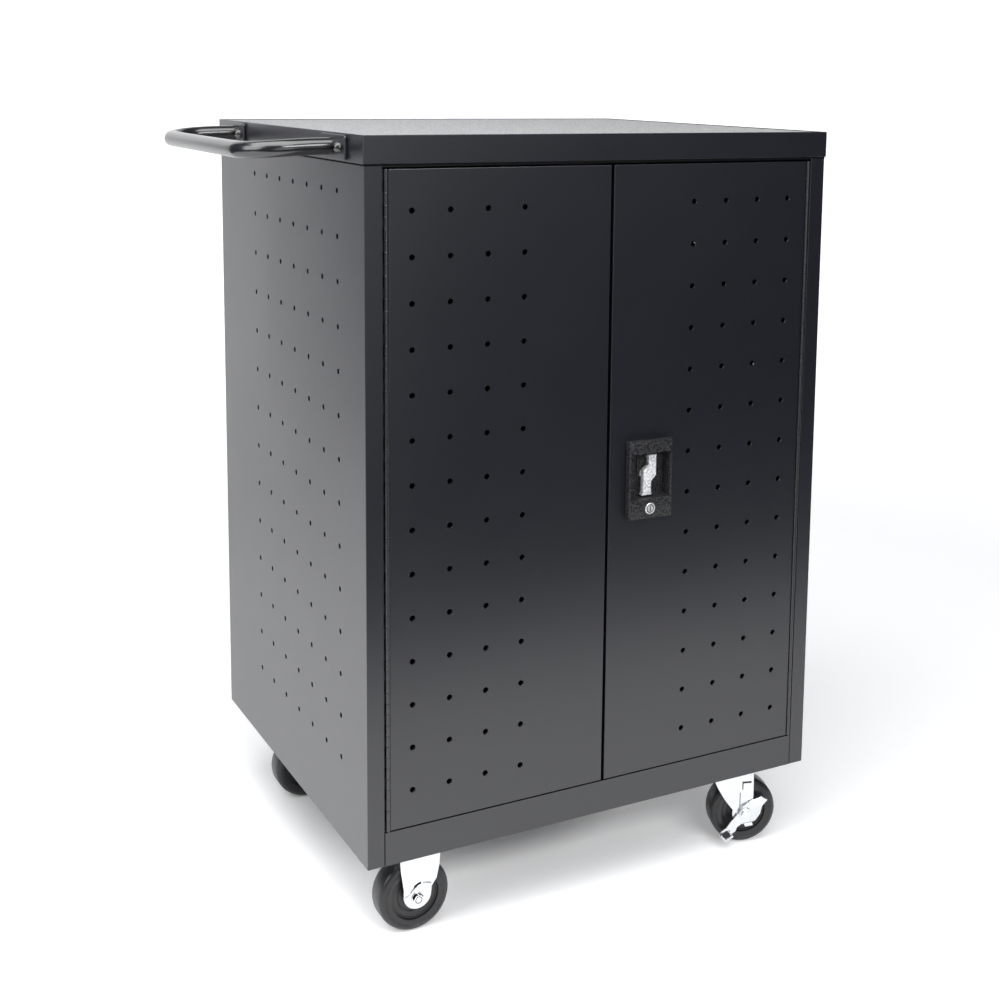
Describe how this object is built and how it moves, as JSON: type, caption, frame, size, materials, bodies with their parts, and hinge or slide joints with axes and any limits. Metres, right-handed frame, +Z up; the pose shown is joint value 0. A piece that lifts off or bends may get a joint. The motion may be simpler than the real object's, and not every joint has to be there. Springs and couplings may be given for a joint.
{
  "type": "laptop charging cart",
  "caption": "Black steel laptop charging cart with perforated walls, two hinged doors with a recessed turn handle, a push handle on one end and casters",
  "frame": {"origin": "middle of the cart's outline at floor level", "axes": "X to the right along the front, Y to the back, Z up; the doors face -Y and the push handle is on the -X end"},
  "size_m": [0.7176, 0.5466, 0.9323],
  "materials": {
    "black_coat": "satin black powder coat on steel sheet, fine orange peel",
    "black_tube": "smooth satin black paint on steel tube",
    "black_crinkle": "black crinkle paint on cast zinc",
    "hammered_silver": "silver hammered paint on cast zinc",
    "grey_mat": "grey speckled rubber mat",
    "zinc_plate": "bright zinc plated steel",
    "lock_chrome": "polished chrome",
    "black_rubber": "moulded black rubber",
    "black_plastic": "moulded matte black plastic"
  },
  "bodies": {
    "cart": {"back_panel": "black_coat", "bottom_pan": "black_coat", "front_handle_plate": "black_coat", "front_left_axle": "zinc_plate", "front_left_fork": "zinc_plate", "front_right_swivel_plate": "zinc_plate", "handle_bolt_1": "zinc_plate", "handle_bolt_2": "zinc_plate", "handle_bolt_3": "zinc_plate", "handle_bolt_4": "zinc_plate", "handle_tube": "black_tube", "header_rail": "black_coat", "left_door_catch": "black_plastic", "left_hinge_frame_leaf": "black_coat", "left_hinge_pin": "zinc_plate", "left_side_panel": "black_coat", "lower_divider_rack": "black_plastic", "lower_partition": "black_coat", "lower_power_strip": "black_plastic", "middle_shelf": "black_coat", "power_inlet": "black_plastic", "rear_handle_plate": "black_coat", "rear_left_axle": "zinc_plate", "rear_left_fork": "zinc_plate", "rear_right_swivel_plate": "zinc_plate", "right_hinge_frame_leaf": "black_coat", "right_hinge_pin": "zinc_plate", "right_side_panel": "black_coat", "top_lid": "black_coat", "top_mat": "grey_mat", "upper_divider_rack": "black_plastic", "upper_partition": "black_coat", "upper_power_strip": "black_plastic"},
    "left_door": {"left_door_panel": "black_coat", "left_hinge_door_leaf": "black_coat", "left_door_strike": "zinc_plate"},
    "right_door": {"right_door_panel": "black_coat", "right_hinge_door_leaf": "black_coat", "latch_housing": "black_crinkle", "upper_rod_guide": "zinc_plate", "lower_rod_guide": "zinc_plate"},
    "lever": {"latch_lever": "hammered_silver", "latch_cam": "zinc_plate"},
    "upper_rod": {"upper_lock_rod": "zinc_plate"},
    "lower_rod": {"lower_lock_rod": "zinc_plate"},
    "lock": {"lock_cylinder": "lock_chrome"},
    "front_swivel": {"front_right_fork": "zinc_plate", "front_right_axle": "zinc_plate"},
    "front_brake": {"front_right_brake_lever": "zinc_plate"},
    "front_right_roller": {"front_right_wheel": "black_rubber"},
    "front_left_roller": {"front_left_wheel": "black_rubber"},
    "rear_swivel": {"rear_right_fork": "zinc_plate", "rear_right_axle": "zinc_plate"},
    "rear_brake": {"rear_right_brake_lever": "zinc_plate"},
    "rear_right_roller": {"rear_right_wheel": "black_rubber"},
    "rear_left_roller": {"rear_left_wheel": "black_rubber"},
    "upper_rocker": {"upper_rocker_switch": "black_plastic"},
    "lower_rocker": {"lower_rocker_switch": "black_plastic"}
  },
  "joints": [
    {"name": "left_door_hinge", "type": "hinge", "parent": "cart", "child": "left_door", "pos_m": [-0.22762, -0.26295, 0.5215], "axis": [0, 0, -1], "range_deg": [0, 170]},
    {"name": "right_door_hinge", "type": "hinge", "parent": "cart", "child": "right_door", "pos_m": [0.33259, -0.26295, 0.5215], "axis": [0, 0, 1], "range_deg": [0, 170]},
    {"name": "lever_turn", "type": "hinge", "parent": "right_door", "child": "lever", "pos_m": [0.10669, -0.25995, 0.524], "axis": [0, -1, 0], "range_deg": [0, 60]},
    {"name": "upper_rod_throw", "type": "slide", "parent": "right_door", "child": "upper_rod", "axis": [0, 0, 1], "range_m": [0, 0.013]},
    {"name": "lower_rod_throw", "type": "slide", "parent": "right_door", "child": "lower_rod", "axis": [0, 0, -1], "range_m": [0, 0.0131]},
    {"name": "lock_turn", "type": "hinge", "parent": "right_door", "child": "lock", "pos_m": [0.10669, -0.26295, 0.484], "axis": [0, -1, 0], "range_deg": [0, 90]},
    {"name": "front_swivel_turn", "type": "hinge", "parent": "cart", "child": "front_swivel", "pos_m": [0.26628, -0.22095, 0.0955], "axis": [0, 0, 1], "continuous": true},
    {"name": "front_right_wheel_roll", "type": "hinge", "parent": "front_swivel", "child": "front_right_roller", "pos_m": [0.28531, -0.22713, 0.044], "axis": [0.309, 0.9511, 0], "continuous": true},
    {"name": "front_brake_press", "type": "hinge", "parent": "front_swivel", "child": "front_brake", "pos_m": [0.2782, -0.24901, 0.044], "axis": [-0.309, -0.9511, 0], "range_deg": [0, 40]},
    {"name": "front_left_wheel_roll", "type": "hinge", "parent": "cart", "child": "front_left_roller", "pos_m": [-0.18332, -0.22095, 0.044], "axis": [0, 1, 0], "continuous": true},
    {"name": "rear_swivel_turn", "type": "hinge", "parent": "cart", "child": "rear_swivel", "pos_m": [0.26628, 0.15705, 0.0955], "axis": [0, 0, 1], "continuous": true},
    {"name": "rear_right_wheel_roll", "type": "hinge", "parent": "rear_swivel", "child": "rear_right_roller", "pos_m": [0.28629, 0.15705, 0.044], "axis": [0, 1, 0], "continuous": true},
    {"name": "rear_brake_press", "type": "hinge", "parent": "rear_swivel", "child": "rear_brake", "pos_m": [0.28629, 0.13405, 0.044], "axis": [0, -1, 0], "range_deg": [0, 40]},
    {"name": "rear_left_wheel_roll", "type": "hinge", "parent": "cart", "child": "rear_left_roller", "pos_m": [-0.18332, 0.15705, 0.044], "axis": [0, 1, 0], "continuous": true},
    {"name": "upper_rocker_tilt", "type": "hinge", "parent": "cart", "child": "upper_rocker", "pos_m": [-0.17552, 0.17235, 0.671], "axis": [1, 0, 0], "range_deg": [-8, 8]},
    {"name": "lower_rocker_tilt", "type": "hinge", "parent": "cart", "child": "lower_rocker", "pos_m": [-0.17552, 0.17235, 0.263], "axis": [1, 0, 0], "range_deg": [-8, 8]}
  ],
  "couplings": [
    {"joint": "lever_turn", "follows": "upper_rod_throw", "rad_per_m": 80.55},
    {"joint": "lower_rod_throw", "follows": "upper_rod_throw", "ratio": 1}
  ]
}
